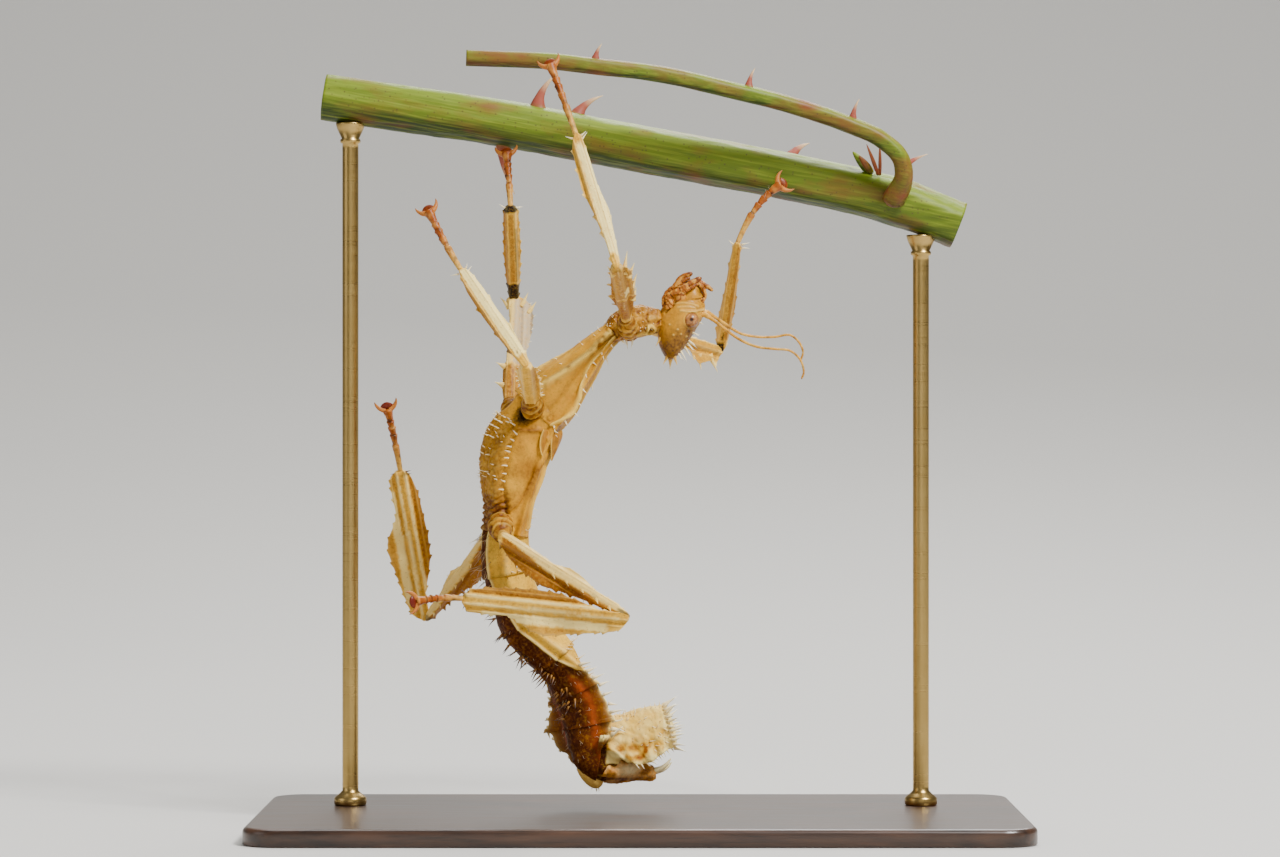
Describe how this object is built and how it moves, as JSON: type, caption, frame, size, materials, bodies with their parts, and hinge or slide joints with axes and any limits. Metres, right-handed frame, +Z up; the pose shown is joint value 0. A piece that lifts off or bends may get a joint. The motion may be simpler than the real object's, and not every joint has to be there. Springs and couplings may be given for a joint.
{
  "type": "giant prickly stick insect display model",
  "caption": "Life-size model of a giant prickly stick insect hanging by its feet from a cut bramble cane on a flat display stand.",
  "frame": {"origin": "middle of the stand base's underside", "axes": "+Z up, +X from the insect's tail side towards its head side along the cane, -Y the insect's left side"},
  "size_m": [0.13, 0.066, 0.1332],
  "materials": {
    "straw_plate": "dry waxy insect shell, satin",
    "abdomen_plate": "dry waxy insect shell, satin",
    "belly_plate": "dark brown insect shell, satin",
    "leg_plate": "dry waxy insect shell, satin",
    "foot": "reddish insect shell, satin",
    "rusty_plate": "rust-brown insect shell, satin",
    "antenna": "fine insect shell, satin",
    "eye": "glossy compound eye",
    "bramble_bark": "fresh green bramble cane, satin",
    "stand_wood": "dark stained hardwood, satin lacquer",
    "stand_brass": "satin brass rod"
  },
  "bodies": {
    "root": {"prothorax": "straw_plate", "mesothorax": "straw_plate", "metathorax": "straw_plate", "abdomen_2": "abdomen_plate", "abdomen_3": "abdomen_plate", "abdomen_4": "abdomen_plate", "abdomen_5": "abdomen_plate", "abdomen_6": "abdomen_plate", "abdomen_7": "abdomen_plate", "abdomen_8_to_10": "abdomen_plate", "operculum": "belly_plate", "forewing_pad_left": "rusty_plate", "hindwing_pad_left": "rusty_plate", "forewing_pad_right": "rusty_plate", "hindwing_pad_right": "rusty_plate", "head": "straw_plate", "eye_left": "eye", "eye_right": "eye", "mouthparts": "rusty_plate", "antenna_left": "antenna", "antenna_right": "antenna", "perch_cane": "bramble_bark", "perch_stalk": "bramble_bark", "coxa_front_left": "straw_plate", "femur_front_left": "leg_plate", "tibia_front_left": "leg_plate", "tarsus_front_left": "foot", "coxa_front_right": "straw_plate", "femur_front_right": "leg_plate", "tibia_front_right": "leg_plate", "tarsus_front_right": "foot", "coxa_middle_left": "straw_plate", "femur_middle_left": "leg_plate", "tibia_middle_left": "leg_plate", "tarsus_middle_left": "foot", "coxa_middle_right": "straw_plate", "femur_middle_right": "leg_plate", "tibia_middle_right": "leg_plate", "tarsus_middle_right": "foot", "coxa_hind_left": "straw_plate", "femur_hind_left": "leg_plate", "tibia_hind_left": "leg_plate", "tarsus_hind_left": "foot", "coxa_hind_right": "straw_plate", "femur_hind_right": "leg_plate", "tibia_hind_right": "leg_plate", "tarsus_hind_right": "foot", "stand_base": "stand_wood", "stand_rod_left": "stand_brass", "stand_rod_right": "stand_brass"}
  },
  "joints": []
}
